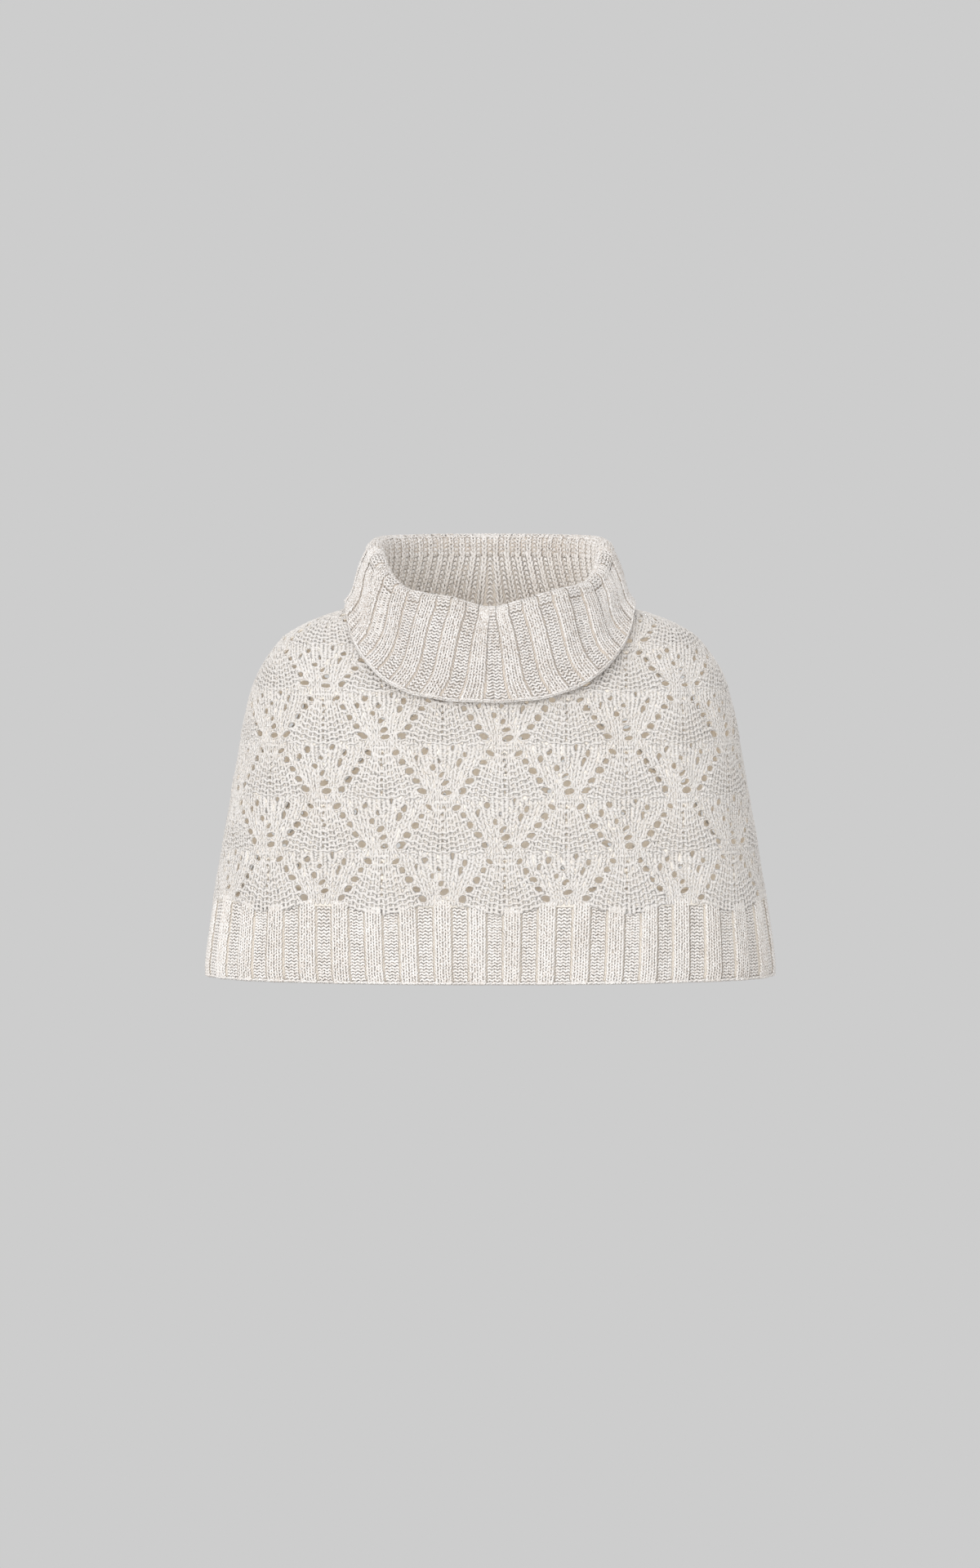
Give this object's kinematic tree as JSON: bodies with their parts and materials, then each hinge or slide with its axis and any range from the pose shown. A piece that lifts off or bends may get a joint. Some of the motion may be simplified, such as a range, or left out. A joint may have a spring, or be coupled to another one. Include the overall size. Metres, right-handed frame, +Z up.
{
  "type": "knitted lace capelet",
  "caption": "Pull-on knitted capelet with a folded ribbed roll neck, eyelet lace body and ribbed hem, in worn form.",
  "frame": {"origin": "middle of the neck base, where the wearer's neck and shoulders hold the garment up", "axes": "+Z up, -Y out of the front, +X to the right as seen from the front"},
  "size_m": [0.5312, 0.2773, 0.4081],
  "materials": {
    "lace_knit": "matt cream wool-blend yarn, loosely knitted lace",
    "hem_rib_knit": "matt melange cream wool-blend yarn, three by three rib",
    "collar_rib_knit": "matt melange cream wool-blend yarn, three by three rib",
    "collar_inside_knit": "matt melange cream wool-blend yarn, one by one rib"
  },
  "bodies": {
    "root": {"body_front": "lace_knit", "body_back": "lace_knit", "hem_front": "hem_rib_knit", "hem_back": "hem_rib_knit", "collar_turnover": "collar_rib_knit", "collar_stand": "collar_inside_knit"}
  },
  "joints": []
}
